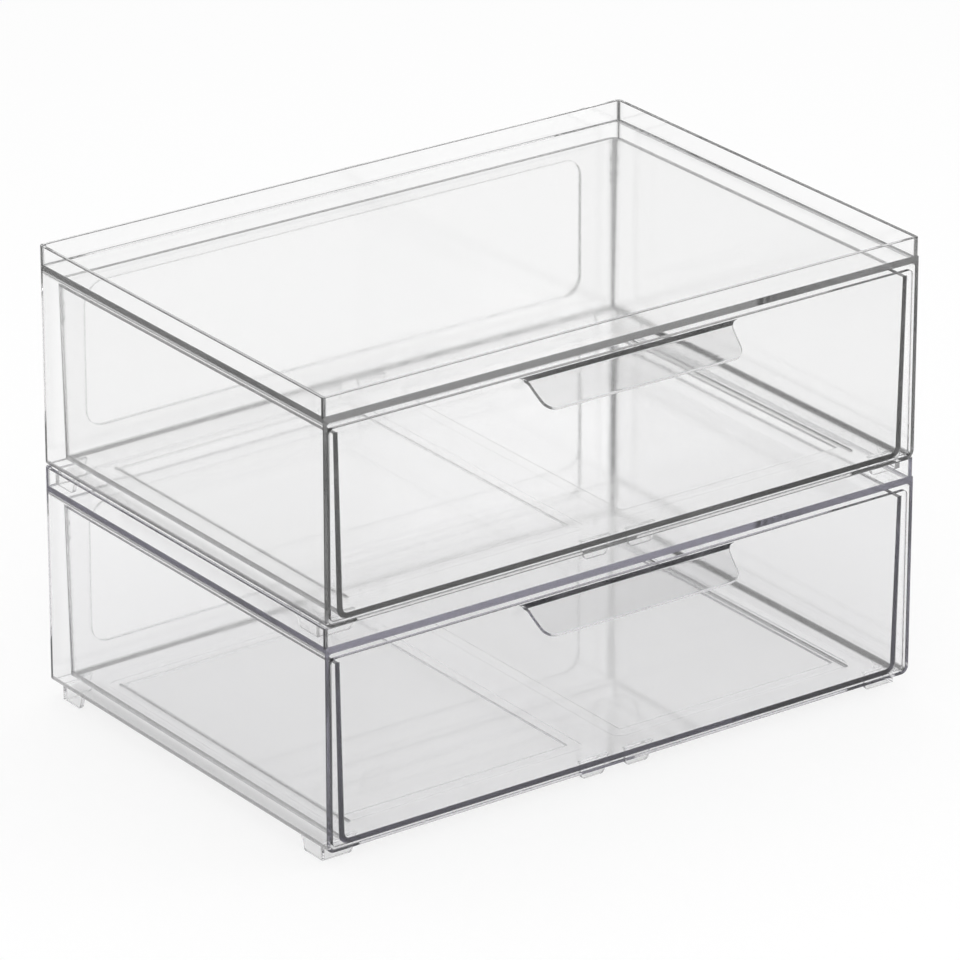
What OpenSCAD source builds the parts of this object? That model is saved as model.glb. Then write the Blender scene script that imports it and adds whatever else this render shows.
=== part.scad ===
// Stack of two clear drawer boxes. Each unit is a case, open at the front, with one pull-out drawer.
// The upper case stands on the rim of the lower one, with its feet inside that rim.
// Z is up, X runs along the wide front, the drawers open towards -Y.
// z = 0 is the plane the feet stand on. y = 0 is midway between the lip of the pull and the back wall.

/* [Case] */
// overall width of a case
case_w = 406; // [340:1:460]
// overall depth of a case, front edge to back wall
case_d = 279; // [240:1:320]
// height of a case from its underside to the top of its rim
case_h = 134; // [110:1:170]
// thickness of the side walls, the back wall and the rim
wall = 2.5; // [2:0.1:3]
// outer radius of the upright back corners
corner_r = 3.2; // [2.5:0.1:5]
// inner radius of the rim's back corners
rim_r = 2; // [1:0.1:3]
// outer radius of the rim's front corners
corner_front_r = 2; // [1:0.1:3]
// inner radius of the rim's front corners
rim_front_r = 0.6; // [0.4:0.1:1.5]
// outer radius of the long lower edges
edge_r = 5; // [4:0.1:7]
// height of the rim above the deck
rim_h = 11.6; // [10:0.1:14]
// thickness of the deck
deck_t = 3.6; // [2.4:0.1:4.5]
// radius along the inner edges between the deck and the side walls
roof_r = 2; // [1:0.1:2.5]
// thickness of the floor
floor_t = 2; // [1.6:0.1:2.6]

/* [Back window] */
// width left at each side of the window in the back wall
window_side = 31; // [20:1:50]
// height of the window's lower edge above the underside
window_low = 17; // [12:1:30]
// strip of wall above the window, up to the rim's top
window_strip = 32; // [24:1:45]
// corner radius of the window
window_r = 11; // [4:1:16]

/* [Floor openings] */
// width of the bar between the two floor openings
bar_w = 37; // [24:1:60]
// width of floor left beside each opening
open_side = 32; // [31:1:45]
// depth of floor left in front of the openings
open_front = 31.5; // [28:0.5:45]
// depth of floor left behind the openings
open_back = 35.5; // [28:0.5:45]
// width of the shallow step round each opening, on the underside
step_w = 8; // [4:0.5:9]
// corner radius of that step
step_r = 7; // [3:0.5:9]
// depth of that step
step_h = 0.6; // [0.3:0.1:0.8]

/* [Runners] */
// height of the two ribs that carry the drawer
run_h = 1; // [0.6:0.1:2]
// width of a rib
run_w = 1.8; // [1.2:0.1:2.5]
// distance from the case's side to the middle of a rib
run_side = 29; // [24:0.5:30]
// distance from the front edge to the start of a rib
run_front = 21.5; // [12:0.5:30]

/* [Feet] */
// height of the feet below the case; they hang clear of a deck below
foot_h = 8.5; // [6:0.1:9.5]
// thickness of the foot tabs
foot_t = 2.4; // [1.6:0.1:3]
// length of a corner foot along the front or back
foot_long = 22.5; // [14:0.5:30]
// length of a corner foot along the side
foot_deep = 20; // [12:0.5:28]
// play between a corner foot and the rim it drops into
foot_play = 0.7; // [0.4:0.1:1.2]
// distance from the case's front or back to the outer face of a foot
foot_set = 9.5; // [5:0.5:12]
// width of a middle foot where it leaves the floor
mid_w = 20; // [12:0.5:26]
// distance between the two middle feet
mid_gap = 11; // [6:0.5:24]
// narrowing of a tab's free end
foot_taper = 2.5; // [1:0.1:4]
// radius of a tab's free lower corner
foot_r = 3; // [1:0.1:4]

/* [Drawer] */
// play between the front panel and each side of the case
side_play = 1.3; // [0.5:0.1:1.8]
// gap between the front panel and the deck
top_gap = 3.4; // [1.5:0.1:4.5]
// thickness of the front panel
panel_t = 2.5; // [2:0.1:3.5]
// corner radius of the front panel
panel_r = 3; // [1:0.1:6]
// height of the front panel above the drawer's walls
panel_rise = 3.6; // [2:0.1:10]
// thickness of the drawer's walls at the top
bin_t = 2.7; // [2:0.1:3.2]
// thickness of the drawer's floor
bin_floor = 2.6; // [1.8:0.1:3.5]
// distance the top of a drawer wall stands in from the panel's edge
bin_side = 3.6; // [2.5:0.1:6]
// gap between the back of the drawer and the back wall
back_gap = 3.8; // [2:0.1:8]
// lean of the outer faces of the drawer's walls, degrees
draft_out = 0.9; // [0.3:0.05:1.2]
// lean of their inner faces, which makes them thicker towards the floor, degrees
draft_in = 1.3; // [0.6:0.05:1.5]
// inner radius of the drawer's long lower edges
bin_r = 3.5; // [2:0.1:8]
// outer radius at the top of the drawer's upright back corners
bin_corner = 7; // [5:0.5:12]

/* [Pull] */
// how far the lip stands out from the front panel
lip_out = 18; // [12:0.5:24]
// slope of the lip below the horizontal, degrees
lip_slope = 38; // [30:1:45]
// width of the lip where it leaves the panel
lip_w = 140; // [100:1:180]
// narrowing of each side of the lip, root to tip
lip_taper = 3; // [1:0.1:5]
// corner radius of the lip's tip
lip_r = 8; // [4:0.5:10]
// thickness of the lip
lip_t = 2.4; // [1.8:0.1:3]
// radius of the hollow of the lip, root to tip
lip_bow = 120; // [80:5:300]
// radius of the blend between the lip's sides and the panel
lip_blend = 6; // [3:0.5:8]
// distance of the lip's top face below the panel's top edge
lip_set = 0.8; // [0.5:0.1:2]

/* [Stack] */
// air between a rim and the case that stands on it
stack_gap = 0.1; // [0.1:0.1:0.5]

/* [Hidden] */
$fn = 64;
eps = 1;

in_w = case_w - 2 * wall;
deck_z = case_h - rim_h;
roof_z = deck_z - deck_t;
front_y = -case_d / 2;
back_y = case_d / 2;

open_w = (case_w - bar_w) / 2 - open_side;
open_d = case_d - open_front - open_back;
open_y = (open_front - open_back) / 2;
open_x = bar_w / 2 + open_w / 2;
run_d = case_d - run_front - open_back;

window_w = case_w - 2 * window_side;
window_h = case_h - window_strip - window_low;

foot_x = in_w / 2 - foot_play;
foot_y = back_y - foot_set;
foot_bite = floor_t / 2;

panel_w = in_w - 2 * side_play;
panel_z = floor_t + run_h;
panel_top = roof_z - top_gap;
bin_top = panel_top - panel_rise;
bin_h = bin_top - panel_z;
bin_x = panel_w / 2 - bin_side;
bin_y = back_y - wall - back_gap;

lip_len = lip_out / cos(lip_slope);

pitch = case_h + stack_gap;
y_mid = lip_out / 2;

// ---- plane shapes ----

module rounded_rect(w, d, r) {
    square([w - 2 * r, d], center = true);
    square([w, d - 2 * r], center = true);
    for (sx = [-1, 1])
        for (sy = [-1, 1])
            translate([sx * (w / 2 - r), sy * (d / 2 - r)])
                circle(r);
}

// section from y = 0 up, with its own radius at the lower and the upper corners
module channel(w, h, r_low, r_high) {
    translate([-w / 2, r_low])
        square([w, h - r_low - r_high]);
    translate([-w / 2 + r_low, 0])
        square([w - 2 * r_low, r_low + r_high]);
    translate([-w / 2 + r_high, h - r_low - r_high])
        square([w - 2 * r_high, r_low + r_high]);
    for (s = [-1, 1]) {
        translate([s * (w / 2 - r_low), r_low])
            circle(r_low);
        translate([s * (w / 2 - r_high), h - r_high])
            circle(r_high);
    }
}

// what a round of radius r takes off the lower right corner of a shape that ends at x = low, y = -h
// and leans outwards by lean degrees
module corner_cut(low, h, lean, r) {
    translate([low - r * tan(45 - lean / 2), -h + r])
        difference() {
            polygon([
                [0, 0],
                [2 * r * cos(lean), -2 * r * sin(lean)],
                [3 * r, -3 * r],
                [0, -2 * r]
            ]);
            circle(r);
        }
}

// corners of the leaning right side of a tab, from its top to its foot; bite is how far it goes on,
// upright, above y = 0
function side_points(top, low, h, bite) =
    concat(bite > 0 ? [[top, bite]] : [], [[top, 0], [low, -h]]);

// from x = 0 to top at y = 0, narrower by taper at the bottom (y = -h), with a rounded free corner
module tab(top, taper, h, r, bite) {
    low = top - taper;
    difference() {
        polygon(concat([[0, bite]], side_points(top, low, h, bite), [[0, -h]]));
        corner_cut(low, h, atan(taper / h), r);
    }
}

// the same on both sides of x = 0
module both_tabs(top, taper, h, r, bite) {
    low = top - taper;
    right = side_points(top, low, h, bite);
    left = [for (i = [len(right) - 1:-1:0]) [-right[i][0], right[i][1]]];
    difference() {
        polygon(concat(right, left));
        for (m = [0, 1])
            mirror([m, 0])
                corner_cut(low, h, atan(taper / h), r);
    }
}

// a section drawn in x and z, run from y0 to y1
module along_y(y0, y1) {
    translate([0, y1, 0])
        rotate([90, 0, 0])
            linear_extrude(y1 - y0)
                children();
}

// a section drawn in y and z, run from -w/2 to w/2
module along_x(w) {
    rotate([90, 0, 90])
        translate([0, 0, -w / 2])
            linear_extrude(w)
                children();
}

// ---- case ----

// the corners of the rim and at the back are round, those of the open front are square
module case_block() {
    intersection() {
        union() {
            linear_extrude(case_h)
                translate([0, front_y])
                    channel(case_w, case_d, corner_front_r, corner_r);
            translate([-case_w / 2, front_y, 0])
                cube([case_w, case_d / 2, deck_z]);
        }
        along_y(front_y - eps, back_y + eps)
            channel(case_w, case_h + 2 * edge_r, edge_r, edge_r);
    }
}

module drawer_space() {
    along_y(front_y - eps, back_y - wall)
        translate([0, floor_t])
            channel(in_w, roof_z - floor_t, edge_r - wall, roof_r);
}

module rim_recess() {
    translate([0, 0, deck_z])
        linear_extrude(rim_h + eps)
            translate([0, front_y + wall])
                channel(in_w, case_d - 2 * wall, rim_front_r, rim_r);
}

module back_window() {
    along_y(back_y - wall - eps, back_y + eps)
        translate([0, window_low + window_h / 2])
            rounded_rect(window_w, window_h, window_r);
}

module floor_openings() {
    for (s = [-1, 1])
        translate([s * open_x, open_y, -eps]) {
            linear_extrude(floor_t + 2 * eps)
                square([open_w, open_d], center = true);
            linear_extrude(eps + step_h)
                rounded_rect(open_w + 2 * step_w, open_d + 2 * step_w, step_r);
        }
}

module runners() {
    for (s = [-1, 1])
        translate([s * (case_w / 2 - run_side) - run_w / 2, front_y + run_front, floor_t / 2])
            cube([run_w, run_d, floor_t / 2 + run_h]);
}

// one tab of a corner foot, running inwards from the corner
module corner_tab(top) {
    tab(top, foot_taper, foot_h, foot_r, foot_bite);
}

module corner_foot() {
    translate([foot_x, foot_y, 0]) {
        mirror([1, 0, 0])
            along_y(-foot_t, 0)
                corner_tab(foot_long);
        translate([-foot_t / 2, 0, 0])
            mirror([0, 1, 0])
                along_x(foot_t)
                    corner_tab(foot_deep);
    }
}

module middle_foot() {
    translate([mid_gap / 2 + mid_w / 2, foot_y, 0])
        along_y(-foot_t, 0)
            both_tabs(mid_w / 2, foot_taper, foot_h, foot_r, foot_bite);
}

module feet() {
    for (mx = [0, 1])
        for (my = [0, 1])
            mirror([mx, 0, 0])
                mirror([0, my, 0]) {
                    corner_foot();
                    middle_foot();
                }
}

module case_part() {
    difference() {
        case_block();
        drawer_space();
        rim_recess();
        back_window();
        floor_openings();
    }
    runners();
    feet();
}

// ---- drawer ----

// space outside the round of an upright back corner; rt is its radius at the drawer wall's top, and the
// round shrinks towards the floor as its walls lean by lean degrees. The cone is turned so that its own
// starting line lies inside the drawer, away from both walls.
module corner_waste(x, y, rt, lean) {
    slope = tan(lean);
    translate([x - rt, y - rt, panel_z - eps])
        difference() {
            cube([rt + eps, rt + eps, bin_h + 2 * eps]);
            translate([0, 0, -eps])
                rotate(225)
                    cylinder(
                        h = bin_h + 4 * eps,
                        r1 = rt - (bin_h + 2 * eps) * slope,
                        r2 = rt + 2 * eps * slope
                    );
        }
}

// block between walls that lean by lean degrees, set in by inset at the top, from y0 to the back, its
// underside at z0
module bin_block(inset, lean, y0, z0, r, rise) {
    h = bin_top - z0;
    taper = h * tan(lean);
    x = bin_x - inset;
    y = bin_y - inset;
    difference() {
        intersection() {
            along_y(y0, bin_y + eps)
                translate([0, bin_top])
                    both_tabs(x, taper, h, r, rise);
            translate([0, 0, bin_top])
                along_x(2 * bin_x + 2 * eps)
                    translate([y0 - 2 * r, 0])
                        tab(y - y0 + 2 * r, taper, h, r, rise);
        }
        for (m = [0, 1])
            mirror([m, 0, 0])
                corner_waste(x, y, bin_corner - inset, lean);
    }
}

module front_panel() {
    along_y(front_y, front_y + panel_t)
        translate([0, panel_z])
            channel(panel_w, panel_top - panel_z, panel_r, panel_r);
}

// the lip seen square to its slope: x across, y = 0 where it leaves the panel, its sides blended into
// the panel by hollow rounds
module lip_outline() {
    half = lip_w / 2;
    low = half - lip_taper;
    side = half - lip_taper * lip_blend / lip_len;
    root = side + lip_blend;
    difference() {
        polygon([
            [-root, panel_t],
            [root, panel_t],
            [root, 0],
            [side, -lip_blend],
            [low, -lip_len],
            [-low, -lip_len],
            [-side, -lip_blend],
            [-root, 0]
        ]);
        for (m = [0, 1])
            mirror([m, 0]) {
                corner_cut(low, lip_len, atan(lip_taper / lip_len), lip_r);
                translate([root, -lip_blend])
                    circle(lip_blend);
            }
    }
}

// the lip slopes forwards and down from the panel's top edge, slightly hollow along its slope
module pull_lip() {
    sag = lip_bow - sqrt(lip_bow * lip_bow - lip_len * lip_len / 4);
    intersection() {
        translate([0, front_y, panel_top - lip_set])
            rotate([lip_slope, 0, 0])
                intersection() {
                    translate([0, 0, -2 * lip_t])
                        linear_extrude(4 * lip_t)
                            lip_outline();
                    translate([0, -lip_len / 2, lip_bow - sag])
                        rotate([0, 90, 0])
                            difference() {
                                cylinder(h = 2 * lip_w, r = lip_bow + lip_t, center = true);
                                cylinder(h = 2 * lip_w + 2, r = lip_bow, center = true);
                            }
                }
        translate([-lip_w, front_y - 2 * lip_out, panel_top - 3 * lip_out])
            cube([2 * lip_w, 2 * lip_out + panel_t / 2, 3 * lip_out]);
    }
}

module drawer_part() {
    difference() {
        union() {
            front_panel();
            bin_block(0, draft_out, front_y + panel_t / 2, panel_z, bin_r + bin_t, 0);
        }
        bin_block(bin_t, draft_in, front_y + panel_t, panel_z + bin_floor, bin_r, eps);
    }
    pull_lip();
}

// ---- placing ----

module at_level(k) {
    translate([0, y_mid, foot_h + k * pitch])
        children();
}

module lower_case() {
    color([0.80, 0.80, 0.86])
        at_level(0)
            case_part();
}

module lower_drawer() {
    color([0.84, 0.84, 0.88])
        at_level(0)
            drawer_part();
}

module upper_case() {
    color([0.86, 0.87, 0.88])
        at_level(1)
            case_part();
}

module upper_drawer() {
    color([0.90, 0.90, 0.91])
        at_level(1)
            drawer_part();
}

lower_case();
lower_drawer();
upper_case();
upper_drawer();
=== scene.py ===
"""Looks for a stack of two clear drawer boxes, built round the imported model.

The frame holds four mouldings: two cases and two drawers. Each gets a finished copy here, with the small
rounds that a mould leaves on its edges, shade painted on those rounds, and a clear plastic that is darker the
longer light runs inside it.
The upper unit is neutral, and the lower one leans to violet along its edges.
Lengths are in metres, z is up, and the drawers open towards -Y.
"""

import math

import bmesh
import bpy
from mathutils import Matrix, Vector


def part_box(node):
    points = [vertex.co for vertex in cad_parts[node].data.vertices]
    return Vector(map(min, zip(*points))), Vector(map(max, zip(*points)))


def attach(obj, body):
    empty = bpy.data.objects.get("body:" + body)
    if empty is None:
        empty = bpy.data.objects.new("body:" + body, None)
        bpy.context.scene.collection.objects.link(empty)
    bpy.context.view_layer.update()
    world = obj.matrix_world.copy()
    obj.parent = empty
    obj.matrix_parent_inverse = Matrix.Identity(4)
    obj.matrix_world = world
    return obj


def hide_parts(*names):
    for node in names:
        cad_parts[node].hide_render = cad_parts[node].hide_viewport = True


bl_info = {
    "name": "Clear Drawer Box Stack",
    "version": (1, 1, 0),
    "blender": (4, 5, 0),
    "location": "View3D > Sidebar > Drawer Boxes",
    "description": "Finishes a stack of clear drawer boxes and sets its studio",
    "category": "Object",
}

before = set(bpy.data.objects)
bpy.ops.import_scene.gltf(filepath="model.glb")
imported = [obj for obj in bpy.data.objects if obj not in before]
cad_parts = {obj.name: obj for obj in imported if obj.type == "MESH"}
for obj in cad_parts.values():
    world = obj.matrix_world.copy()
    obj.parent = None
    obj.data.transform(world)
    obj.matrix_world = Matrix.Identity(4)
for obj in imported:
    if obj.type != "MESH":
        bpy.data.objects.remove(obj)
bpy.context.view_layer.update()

UNITS = ("lower", "upper")
TREE = "moulded_finish"
WHITE = (1, 1, 1, 1)

# Points of a CAD mesh closer than this are one, and faces that turn by less than this are one flat face.
WELD = 0.000002
FLAT_TURN = math.radians(0.5)

# A face keeps its edges sharp if it is narrower than two rounds side by side, times this.
ROOM = 1.1
ROUND_SEGMENTS = 2

# How far the larger faces set the shading where a round meets them, with 50 for no lead.
LARGE_FACES_LEAD = 100

# Face attribute that carries the shade painted on the rounds as a darker colour: 1 where a face leans by
# FULL_TONE or more from every axis. A face with less than FLAT_BELOW is shaded as a flat one.
PAINTED_ROUND_SHADE = "painted_round_shade"
FULL_TONE = math.radians(30)
FLAT_BELOW = 0.005

# Levels of the noise between which the plastic goes from clean to scuffed, and the detail of both noises.
SCUFF_LEVELS = (0.35, 0.75)
SCUFF_DETAIL = 4.0
WAVE_DETAIL = 1.0

# Name, place, side and full power of each lamp, and the point that all of them face.
LAMPS = (
    ("key", (-1.4, -1.6, 1.9), 1.4, 31.0),
    ("fill", (1.9, -1.2, 1.3), 1.6, 14.5),
    ("top", (0.2, 0.6, 2.2), 1.8, 19.0),
)
LAMP_AIM = Vector((0, 0, 0.14))

FLOOR_HALF = 12.0
SENSOR_MM = 36
CLIP_END = 100

# Light that stays inside a wall is mirrored many times before it leaves at an edge.
BOUNCES = 80
CLEAR_BOUNCES = 40


# ---- small helpers ----


def material(name):
    """A new node material with nothing in its tree but the output."""
    mat = bpy.data.materials.new(name)
    mat.use_nodes = True
    mat.node_tree.nodes.clear()
    out = mat.node_tree.nodes.new("ShaderNodeOutputMaterial")
    return mat, mat.node_tree.nodes, mat.node_tree.links, out


def maths(nodes, links, operation, a, b=None):
    """The result of a maths node on sockets or numbers."""
    node = nodes.new("ShaderNodeMath")
    node.operation = operation
    for socket, value in zip(node.inputs, (a, b)):
        if isinstance(value, float):
            socket.default_value = value
        elif value is not None:
            links.new(value, socket)
    return node.outputs["Value"]


def compare(nodes, links, operation, value, limit):
    """Whether a value is above or below a limit, which is a socket or a number."""
    node = nodes.new("FunctionNodeCompare")
    node.data_type = "FLOAT"
    node.operation = operation
    links.new(value, node.inputs["A"])
    if isinstance(limit, float):
        node.inputs["B"].default_value = limit
    else:
        links.new(limit, node.inputs["B"])
    return node.outputs["Result"]


def colour_with_painted_shade(nodes, links, look):
    """Colour of the surface: nearly white, with shade painted on the rounds as a darker colour."""
    tone = nodes.new("ShaderNodeAttribute")
    tone.attribute_name = PAINTED_ROUND_SHADE
    colour = nodes.new("ShaderNodeMix")
    colour.data_type = "RGBA"
    links.new(tone.outputs["Fac"], colour.inputs["Factor"])
    flat, rounded = (socket for socket in colour.inputs if socket.type == "RGBA")
    flat.default_value = (*[look.clearness] * 3, 1)
    # painted shade: the rounds get a far darker colour than the flat faces
    rounded.default_value = (*[look.painted_shade_level] * 3, 1)
    return next(socket for socket in colour.outputs if socket.type == "RGBA")


def clear_plastic(name, look, tint):
    """Clear moulded plastic: faintly wavy and scuffed, darker where light runs far inside it, and with shade
    painted on its rounds.

    Rays towards lamps pass straight through, so that the walls shade each other and the floor only lightly.
    """
    mat, nodes, links, out = material(name)
    coords = nodes.new("ShaderNodeTexCoord")
    waves = nodes.new("ShaderNodeTexNoise")
    waves.inputs["Scale"].default_value = look.wave_scale
    waves.inputs["Detail"].default_value = WAVE_DETAIL
    links.new(coords.outputs["Object"], waves.inputs["Vector"])
    bump = nodes.new("ShaderNodeBump")
    bump.inputs["Strength"].default_value = look.wave_strength
    bump.inputs["Distance"].default_value = look.wave_height
    links.new(waves.outputs["Fac"], bump.inputs["Height"])
    scuffs = nodes.new("ShaderNodeTexNoise")
    scuffs.inputs["Scale"].default_value = look.scuff_scale
    scuffs.inputs["Detail"].default_value = SCUFF_DETAIL
    links.new(coords.outputs["Object"], scuffs.inputs["Vector"])
    rough = nodes.new("ShaderNodeMapRange")
    rough.inputs["From Min"].default_value, rough.inputs["From Max"].default_value = SCUFF_LEVELS
    rough.inputs["To Min"].default_value = look.roughness
    rough.inputs["To Max"].default_value = look.roughness + look.scuff
    links.new(scuffs.outputs["Fac"], rough.inputs["Value"])
    plastic = nodes.new("ShaderNodeBsdfPrincipled")
    # The base colour holds the shade painted on the rounds.
    links.new(colour_with_painted_shade(nodes, links, look), plastic.inputs["Base Color"])
    plastic.inputs["IOR"].default_value = look.ior
    plastic.inputs["Transmission Weight"].default_value = 1.0
    links.new(rough.outputs["Result"], plastic.inputs["Roughness"])
    links.new(bump.outputs["Normal"], plastic.inputs["Normal"])
    through = nodes.new("ShaderNodeBsdfTransparent")
    through.inputs["Color"].default_value = (*[look.shade] * 3, 1)
    path = nodes.new("ShaderNodeLightPath")
    mix = nodes.new("ShaderNodeMixShader")
    links.new(path.outputs["Is Shadow Ray"], mix.inputs["Fac"])
    links.new(plastic.outputs["BSDF"], mix.inputs[1])
    links.new(through.outputs["BSDF"], mix.inputs[2])
    links.new(mix.outputs["Shader"], out.inputs["Surface"])
    inside = nodes.new("ShaderNodeVolumeAbsorption")
    inside.inputs["Color"].default_value = (*tint, 1)
    inside.inputs["Density"].default_value = look.density
    links.new(inside.outputs["Volume"], out.inputs["Volume"])
    return mat


def mark_rounds(edit, look):
    """Marks the sharp edges that get a round, but none at a face too narrow to keep its rounds apart."""
    mark = edit.edges.layers.float.new("bevel_weight_edge")
    sharp = {edge for edge in edit.edges if edge.calc_face_angle(0) > look.sharp_above}
    tight = set()
    for face in edit.faces:
        own = [edge for edge in face.edges if edge in sharp]
        if face.calc_area() < look.edge_round * sum(edge.calc_length() for edge in own) * ROOM:
            tight.update(own)
    for edge in sharp - tight:
        edge[mark] = 1.0


def welded(node_name, look):
    """The faces of a CAD node as one closed mesh, its flat faces cleared of the lines between triangles."""
    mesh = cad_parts[node_name].data.copy()
    edit = bmesh.new()
    edit.from_mesh(mesh)
    bmesh.ops.remove_doubles(edit, verts=edit.verts, dist=WELD)
    bmesh.ops.dissolve_limit(edit, angle_limit=FLAT_TURN, verts=edit.verts, edges=edit.edges)
    mark_rounds(edit, look)
    edit.to_mesh(mesh)
    edit.free()
    return mesh


def roundness(nodes, links):
    """How far a face leans from the nearest axis, 0 for a straight one and 1 at the full tone's angle."""
    facing = nodes.new("ShaderNodeSeparateXYZ")
    links.new(nodes.new("GeometryNodeInputNormal").outputs["Normal"], facing.inputs["Vector"])
    x, y, z = (maths(nodes, links, "ABSOLUTE", facing.outputs[axis]) for axis in "XYZ")
    straight = maths(nodes, links, "MAXIMUM", maths(nodes, links, "MAXIMUM", x, y), z)
    slope = maths(nodes, links, "SUBTRACT", 1.0, straight)
    tone = maths(nodes, links, "DIVIDE", slope, 1 - math.cos(FULL_TONE))
    return maths(nodes, links, "MINIMUM", tone, 1.0)


def finish_tree():
    """Node tree that shades a moulding, made once: rounds smooth, flat faces flat, a mask for the shade painted
    on the rounds, all in one plastic.
    """
    tree = bpy.data.node_groups.get(TREE)
    if tree:
        return tree
    tree = bpy.data.node_groups.new(TREE, "GeometryNodeTree")
    socket = tree.interface.new_socket
    socket("Geometry", in_out="INPUT", socket_type="NodeSocketGeometry")
    limit = socket("Smooth below", in_out="INPUT", socket_type="NodeSocketFloat")
    limit.subtype = "ANGLE"
    socket("Pull starts at y", in_out="INPUT", socket_type="NodeSocketFloat")
    socket("Plastic", in_out="INPUT", socket_type="NodeSocketMaterial")
    socket("Geometry", in_out="OUTPUT", socket_type="NodeSocketGeometry")
    nodes, links = tree.nodes, tree.links
    given = nodes.new("NodeGroupInput")
    made = nodes.new("NodeGroupOutput")
    # Mask of the shade painted on the rounds, kept off the pull lip.
    toned = nodes.new("GeometryNodeStoreNamedAttribute")
    toned.data_type = "FLOAT"
    toned.domain = "FACE"
    toned.inputs["Name"].default_value = PAINTED_ROUND_SHADE
    links.new(given.outputs["Geometry"], toned.inputs["Geometry"])
    tone = roundness(nodes, links)
    place = nodes.new("ShaderNodeSeparateXYZ")
    links.new(nodes.new("GeometryNodeInputPosition").outputs["Position"], place.inputs["Vector"])
    behind = maths(nodes, links, "GREATER_THAN", place.outputs["Y"], given.outputs["Pull starts at y"])
    links.new(maths(nodes, links, "MULTIPLY", tone, behind), toned.inputs["Value"])
    curved = compare(nodes, links, "GREATER_THAN", tone, FLAT_BELOW)
    faces = nodes.new("GeometryNodeSetShadeSmooth")
    faces.domain = "FACE"
    links.new(toned.outputs["Geometry"], faces.inputs["Geometry"])
    links.new(curved, faces.inputs["Shade Smooth"])
    bend = nodes.new("GeometryNodeInputMeshEdgeAngle")
    gentle = compare(nodes, links, "LESS_THAN", bend.outputs["Unsigned Angle"], given.outputs["Smooth below"])
    edges = nodes.new("GeometryNodeSetShadeSmooth")
    edges.domain = "EDGE"
    links.new(faces.outputs["Geometry"], edges.inputs["Geometry"])
    links.new(gentle, edges.inputs["Shade Smooth"])
    real = nodes.new("GeometryNodeRealizeInstances")
    links.new(edges.outputs["Geometry"], real.inputs["Geometry"])
    coat = nodes.new("GeometryNodeSetMaterial")
    links.new(real.outputs["Geometry"], coat.inputs["Geometry"])
    links.new(given.outputs["Plastic"], coat.inputs["Material"])
    links.new(coat.outputs["Geometry"], made.inputs["Geometry"])
    return tree


def socket_id(tree, name):
    """The key that a modifier uses for a tree's named input."""
    for item in tree.interface.items_tree:
        if item.name == name and item.in_out == "INPUT":
            return item.identifier
    raise KeyError(name)


# ---- sizes and colours that a user would change ----


class PlasticSettings(bpy.types.PropertyGroup):
    """How the clear plastic looks."""

    upper_tint: bpy.props.FloatVectorProperty(
        name="Upper tint",
        description="Colour that light keeps inside the upper unit's plastic",
        subtype="COLOR",
        size=3,
        min=0,
        max=1,
        default=(0.50, 0.50, 0.50),
    )
    lower_tint: bpy.props.FloatVectorProperty(
        name="Lower tint",
        description="Colour that light keeps inside the lower unit's plastic",
        subtype="COLOR",
        size=3,
        min=0,
        max=1,
        default=(0.50, 0.49, 0.56),
    )
    density: bpy.props.FloatProperty(
        name="Density",
        description="Share of the light lost per metre of plastic",
        min=0,
        default=9.5,
    )
    ior: bpy.props.FloatProperty(
        name="Index of refraction",
        description="Bend of light in the plastic",
        min=1,
        max=2,
        default=1.58,
    )
    roughness: bpy.props.FloatProperty(
        name="Roughness",
        description="Blur of the plastic where it is clean",
        min=0,
        max=1,
        default=0.02,
    )
    scuff: bpy.props.FloatProperty(
        name="Scuff",
        description="Roughness added in its duller patches",
        min=0,
        max=1,
        default=0.03,
    )
    scuff_scale: bpy.props.FloatProperty(
        name="Scuff scale",
        description="Duller patches per metre",
        min=0,
        default=60.0,
    )
    wave_scale: bpy.props.FloatProperty(
        name="Wave scale",
        description="Waves in the surface per metre",
        min=0,
        default=18.0,
    )
    wave_strength: bpy.props.FloatProperty(
        name="Wave strength",
        description="Share of the waves' height that shows",
        min=0,
        max=1,
        default=0.05,
    )
    wave_height: bpy.props.FloatProperty(
        name="Wave height",
        description="Height of the waves in the surface",
        unit="LENGTH",
        min=0,
        default=0.0002,
    )
    clearness: bpy.props.FloatProperty(
        name="Clearness",
        description="Share of the light that the surface lets through, going in and out",
        min=0,
        max=1,
        default=0.993,
    )
    # painted shade: the colour of the rounds, far darker than the clearness, stands in for the dark lines on
    # clear edges
    painted_shade_level: bpy.props.FloatProperty(
        name="Edge clearness",
        description="The same share on the rounds",
        min=0,
        max=1,
        default=0.18,
    )
    shade: bpy.props.FloatProperty(
        name="Lamp light let through",
        description="Share of the lamps' light that each surface passes on to what stands behind it",
        min=0,
        max=1,
        default=0.88,
    )
    edge_round: bpy.props.FloatProperty(
        name="Edge round",
        description="Radius that the mould leaves on the edges",
        unit="LENGTH",
        min=0,
        default=0.0003,
    )
    sharp_above: bpy.props.FloatProperty(
        name="Sharp above",
        description="Edges that turn by more than this are rounded",
        subtype="ANGLE",
        default=math.radians(40),
    )
    smooth_below: bpy.props.FloatProperty(
        name="Smooth below",
        description="Edges that turn by less than this are shaded as one round surface",
        subtype="ANGLE",
        default=math.radians(46),
    )


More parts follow.
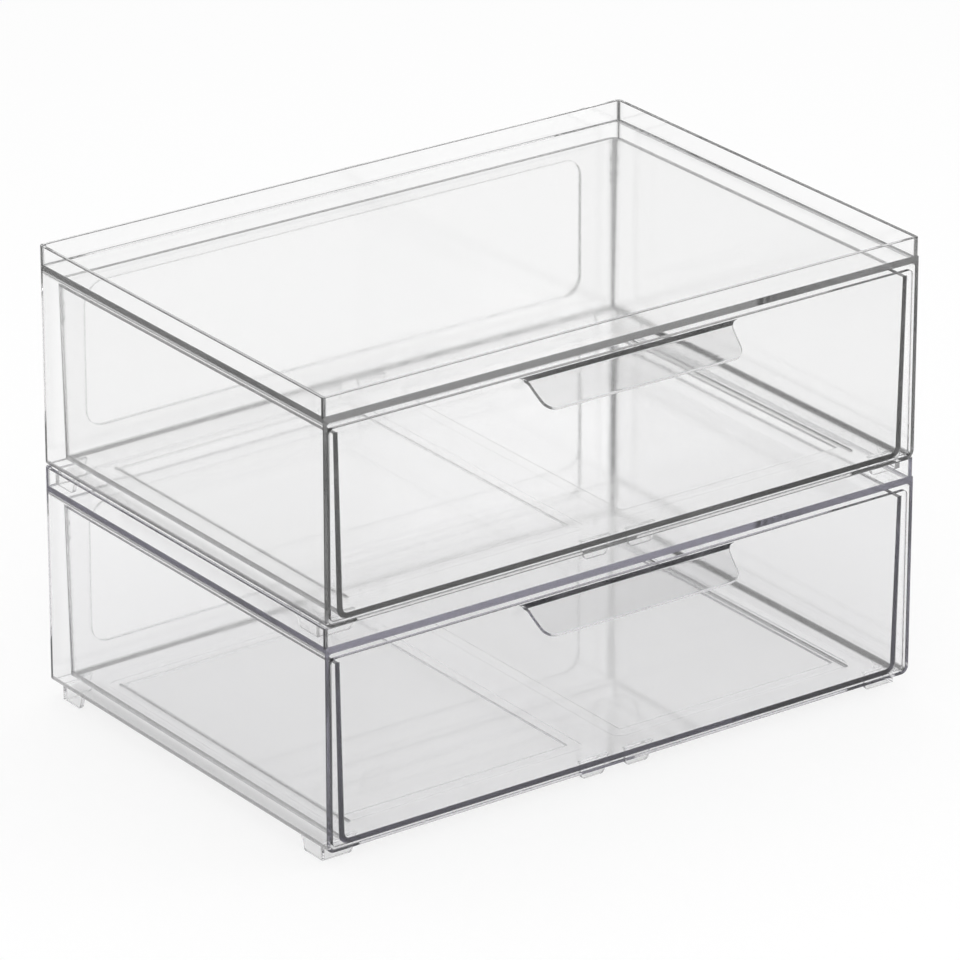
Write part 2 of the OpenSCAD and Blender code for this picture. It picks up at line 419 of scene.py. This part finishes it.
class StudioSettings(bpy.types.PropertyGroup):
    """The camera, the floor and the light."""

    azimuth: bpy.props.FloatProperty(
        name="Azimuth",
        description="Camera's bearing round the stack, 0 looking along +Y",
        subtype="ANGLE",
        default=math.radians(-35.89),
    )
    elevation: bpy.props.FloatProperty(
        name="Elevation",
        description="Camera's height above the horizon",
        subtype="ANGLE",
        default=math.radians(23.05),
    )
    distance: bpy.props.FloatProperty(
        name="Distance",
        description="Camera's distance from its aim",
        unit="LENGTH",
        min=0,
        default=4.0,
    )
    lens: bpy.props.FloatProperty(
        name="Lens",
        description="Focal length on a 36 mm wide sensor",
        unit="CAMERA",
        min=1,
        default=264.7,
    )
    aim: bpy.props.FloatVectorProperty(
        name="Aim",
        description="Point that the camera looks at",
        subtype="TRANSLATION",
        size=3,
        default=(0.0005, 0.009, 0.1311),
    )
    floor_colour: bpy.props.FloatVectorProperty(
        name="Floor colour",
        description="Colour of the floor and the backdrop",
        subtype="COLOR",
        size=3,
        min=0,
        max=1,
        default=(0.97, 0.97, 0.97),
    )
    floor_glow: bpy.props.FloatProperty(
        name="Floor glow",
        description="Share of plain white in the floor where it is seen straight, the rest being lit",
        min=0,
        max=1,
        default=0.75,
    )
    floor_glow_through: bpy.props.FloatProperty(
        name="Floor glow through plastic",
        description="The same share where the floor is seen through the plastic or mirrored in it",
        min=0,
        max=1,
        default=0.4,
    )
    world_light: bpy.props.FloatProperty(
        name="World light",
        description="Light that falls on everything from all round",
        min=0,
        default=0.68,
    )
    lamp_share: bpy.props.FloatProperty(
        name="Lamp share",
        description="Share of the lamps' full power",
        min=0,
        default=0.6,
    )
    ceiling: bpy.props.FloatProperty(
        name="Ceiling",
        description="Brightness of the unlit room overhead, which clear edges show",
        min=0,
        max=1,
        default=0.1,
    )
    ceiling_low: bpy.props.FloatProperty(
        name="Ceiling's start",
        description="Elevation at which the white backdrop starts to fade into the ceiling",
        subtype="ANGLE",
        default=math.radians(20),
    )
    ceiling_full: bpy.props.FloatProperty(
        name="Ceiling's end",
        description="Elevation above which there is only the ceiling",
        subtype="ANGLE",
        default=math.radians(45),
    )


# ---- the mouldings ----


def finish(node_name, tree, plastic, look):
    """Puts a finished copy of a CAD node, with rounded edges and its plastic, in the node's place."""
    piece = bpy.data.objects.new(f"{node_name}_moulding", welded(node_name, look))
    bpy.context.scene.collection.objects.link(piece)
    rounds = piece.modifiers.new("edge rounds", "BEVEL")
    rounds.width = look.edge_round
    rounds.segments = ROUND_SEGMENTS
    rounds.limit_method = "WEIGHT"
    rounds.use_clamp_overlap = False
    shading = piece.modifiers.new("moulded finish", "NODES")
    shading.node_group = tree
    shading[socket_id(tree, "Smooth below")] = look.smooth_below
    shading[socket_id(tree, "Pull starts at y")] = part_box("lower_case")[0][1] - look.edge_round
    shading[socket_id(tree, "Plastic")] = plastic
    even = piece.modifiers.new("even rounds", "WEIGHTED_NORMAL")
    even.mode = "FACE_AREA"
    even.weight = LARGE_FACES_LEAD
    even.keep_sharp = True
    graph = bpy.context.evaluated_depsgraph_get()
    mesh = bpy.data.meshes.new_from_object(piece.evaluated_get(graph))
    piece.modifiers.clear()
    piece.data = mesh
    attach(piece, node_name)
    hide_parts(node_name)
    return piece


def finish_both(context, part):
    """Finishes the lower and the upper moulding of one kind, each in its own unit's plastic."""
    look = context.scene.drawerbox_plastic
    tree = finish_tree()
    for unit, tint in zip(UNITS, (look.lower_tint, look.upper_tint)):
        finish(f"{unit}_{part}", tree, clear_plastic(f"{unit}_{part}_plastic", look, tint), look)


class DRAWERBOX_OT_cases(bpy.types.Operator):
    """Finishes the two cases"""

    bl_idname = "drawerbox.cases"
    bl_label = "Cases"

    def execute(self, context):
        finish_both(context, "case")
        return {"FINISHED"}


class DRAWERBOX_OT_drawers(bpy.types.Operator):
    """Finishes the two drawers with their pull lips"""

    bl_idname = "drawerbox.drawers"
    bl_label = "Drawers"

    def execute(self, context):
        finish_both(context, "drawer")
        return {"FINISHED"}


# ---- the studio ----


def white_for_seen_rays(nodes, links, lit, white):
    """Mixes a plain white over a lit shader for rays that the camera sees, straight, mirrored or through."""
    rays = nodes.new("ShaderNodeLightPath").outputs
    seen = maths(nodes, links, "MAXIMUM", rays["Is Camera Ray"], rays["Is Glossy Ray"])
    seen = maths(nodes, links, "MAXIMUM", seen, rays["Is Transmission Ray"])
    mix = nodes.new("ShaderNodeMixShader")
    links.new(seen, mix.inputs["Fac"])
    links.new(lit, mix.inputs[1])
    links.new(white, mix.inputs[2])
    return mix.outputs["Shader"]


class DRAWERBOX_OT_stage(bpy.types.Operator):
    """Sets the floor, the white world, the lamps and the camera"""

    bl_idname = "drawerbox.stage"
    bl_label = "Studio"

    def execute(self, context):
        look = context.scene.drawerbox_studio
        self.floor(look)
        self.world(context, look)
        self.lamps(look)
        self.camera(context, look)
        context.scene.view_settings.view_transform = "Standard"
        return {"FINISHED"}

    def floor(self, look):
        corners = [(FLOOR_HALF * x, FLOOR_HALF * y, 0) for x, y in ((-1, -1), (1, -1), (1, 1), (-1, 1))]
        mesh = bpy.data.meshes.new("floor")
        mesh.from_pydata(corners, [], [(0, 1, 2, 3)])
        floor = bpy.data.objects.new("floor", mesh)
        bpy.context.scene.collection.objects.link(floor)
        mat, nodes, links, out = material("floor")
        lit = nodes.new("ShaderNodeBsdfDiffuse")
        lit.inputs["Color"].default_value = (*look.floor_colour, 1)
        glow = nodes.new("ShaderNodeEmission")
        part = nodes.new("ShaderNodeMixShader")
        path = nodes.new("ShaderNodeLightPath")
        share = nodes.new("ShaderNodeMix")
        share.data_type = "FLOAT"
        share.inputs["A"].default_value = look.floor_glow_through
        share.inputs["B"].default_value = look.floor_glow
        links.new(path.outputs["Is Camera Ray"], share.inputs["Factor"])
        links.new(share.outputs["Result"], part.inputs["Fac"])
        links.new(lit.outputs["BSDF"], part.inputs[1])
        links.new(glow.outputs["Emission"], part.inputs[2])
        shown = white_for_seen_rays(nodes, links, lit.outputs["BSDF"], part.outputs["Shader"])
        links.new(shown, out.inputs["Surface"])
        floor.data.materials.append(mat)

    def world(self, context, look):
        world = bpy.data.worlds.new("studio")
        context.scene.world = world
        world.use_nodes = True
        nodes, links = world.node_tree.nodes, world.node_tree.links
        nodes.clear()
        out = nodes.new("ShaderNodeOutputWorld")
        lit = nodes.new("ShaderNodeBackground")
        lit.inputs["Color"].default_value = WHITE
        lit.inputs["Strength"].default_value = look.world_light
        white = nodes.new("ShaderNodeBackground")
        white.inputs["Color"].default_value = WHITE
        coords = nodes.new("ShaderNodeTexCoord")
        height = nodes.new("ShaderNodeSeparateXYZ")
        links.new(coords.outputs["Generated"], height.inputs["Vector"])
        fade = nodes.new("ShaderNodeMapRange")
        fade.interpolation_type = "SMOOTHSTEP"
        fade.inputs["From Min"].default_value = math.sin(look.ceiling_low)
        fade.inputs["From Max"].default_value = math.sin(look.ceiling_full)
        fade.inputs["To Min"].default_value = 1.0
        fade.inputs["To Max"].default_value = look.ceiling
        links.new(height.outputs["Z"], fade.inputs["Value"])
        straight = nodes.new("ShaderNodeLightPath").outputs["Is Camera Ray"]
        strength = maths(nodes, links, "MAXIMUM", fade.outputs["Result"], straight)
        links.new(strength, white.inputs["Strength"])
        shown = white_for_seen_rays(nodes, links, lit.outputs["Background"], white.outputs["Background"])
        links.new(shown, out.inputs["Surface"])

    def lamps(self, look):
        for name, place, size, power in LAMPS:
            data = bpy.data.lights.new(name, "AREA")
            data.size = size
            data.energy = power * look.lamp_share
            lamp = bpy.data.objects.new(name, data)
            lamp.location = place
            lamp.visible_glossy = False
            lamp.rotation_mode = "QUATERNION"
            lamp.rotation_quaternion = (LAMP_AIM - Vector(place)).to_track_quat("-Z", "Y")
            bpy.context.scene.collection.objects.link(lamp)

    def camera(self, context, look):
        data = bpy.data.cameras.new("camera")
        data.sensor_width = SENSOR_MM
        data.lens = look.lens
        data.clip_end = CLIP_END
        camera = bpy.data.objects.new("camera", data)
        a, e = look.azimuth, look.elevation
        back = Vector((math.sin(a) * math.cos(e), -math.cos(a) * math.cos(e), math.sin(e)))
        camera.rotation_mode = "QUATERNION"
        camera.location = Vector(look.aim) + back * look.distance
        camera.rotation_quaternion = (-back).to_track_quat("-Z", "Y")
        context.scene.collection.objects.link(camera)
        context.scene.camera = camera
        cycles = context.scene.cycles
        cycles.max_bounces = cycles.transmission_bounces = cycles.glossy_bounces = BOUNCES
        cycles.transparent_max_bounces = CLEAR_BOUNCES


class DRAWERBOX_PT_panel(bpy.types.Panel):
    """Lists the settings and the steps"""

    bl_idname = "DRAWERBOX_PT_panel"
    bl_label = "Drawer Boxes"
    bl_space_type = "VIEW_3D"
    bl_region_type = "UI"
    bl_category = "Drawer Boxes"

    def draw(self, context):
        layout = self.layout
        for settings in (context.scene.drawerbox_plastic, context.scene.drawerbox_studio):
            box = layout.box()
            for name in settings.__annotations__:
                box.prop(settings, name)
        for operator in OPERATORS:
            layout.operator(operator.bl_idname)


OPERATORS = (DRAWERBOX_OT_cases, DRAWERBOX_OT_drawers, DRAWERBOX_OT_stage)
CLASSES = (PlasticSettings, StudioSettings, *OPERATORS, DRAWERBOX_PT_panel)


def register():
    for cls in CLASSES:
        bpy.utils.register_class(cls)
    bpy.types.Scene.drawerbox_plastic = bpy.props.PointerProperty(type=PlasticSettings)
    bpy.types.Scene.drawerbox_studio = bpy.props.PointerProperty(type=StudioSettings)


def unregister():
    del bpy.types.Scene.drawerbox_studio
    del bpy.types.Scene.drawerbox_plastic
    for cls in reversed(CLASSES):
        bpy.utils.unregister_class(cls)


def main():
    register()
    bpy.ops.drawerbox.cases()
    bpy.ops.drawerbox.drawers()
    bpy.ops.drawerbox.stage()


if __name__ == "__main__":
    main()
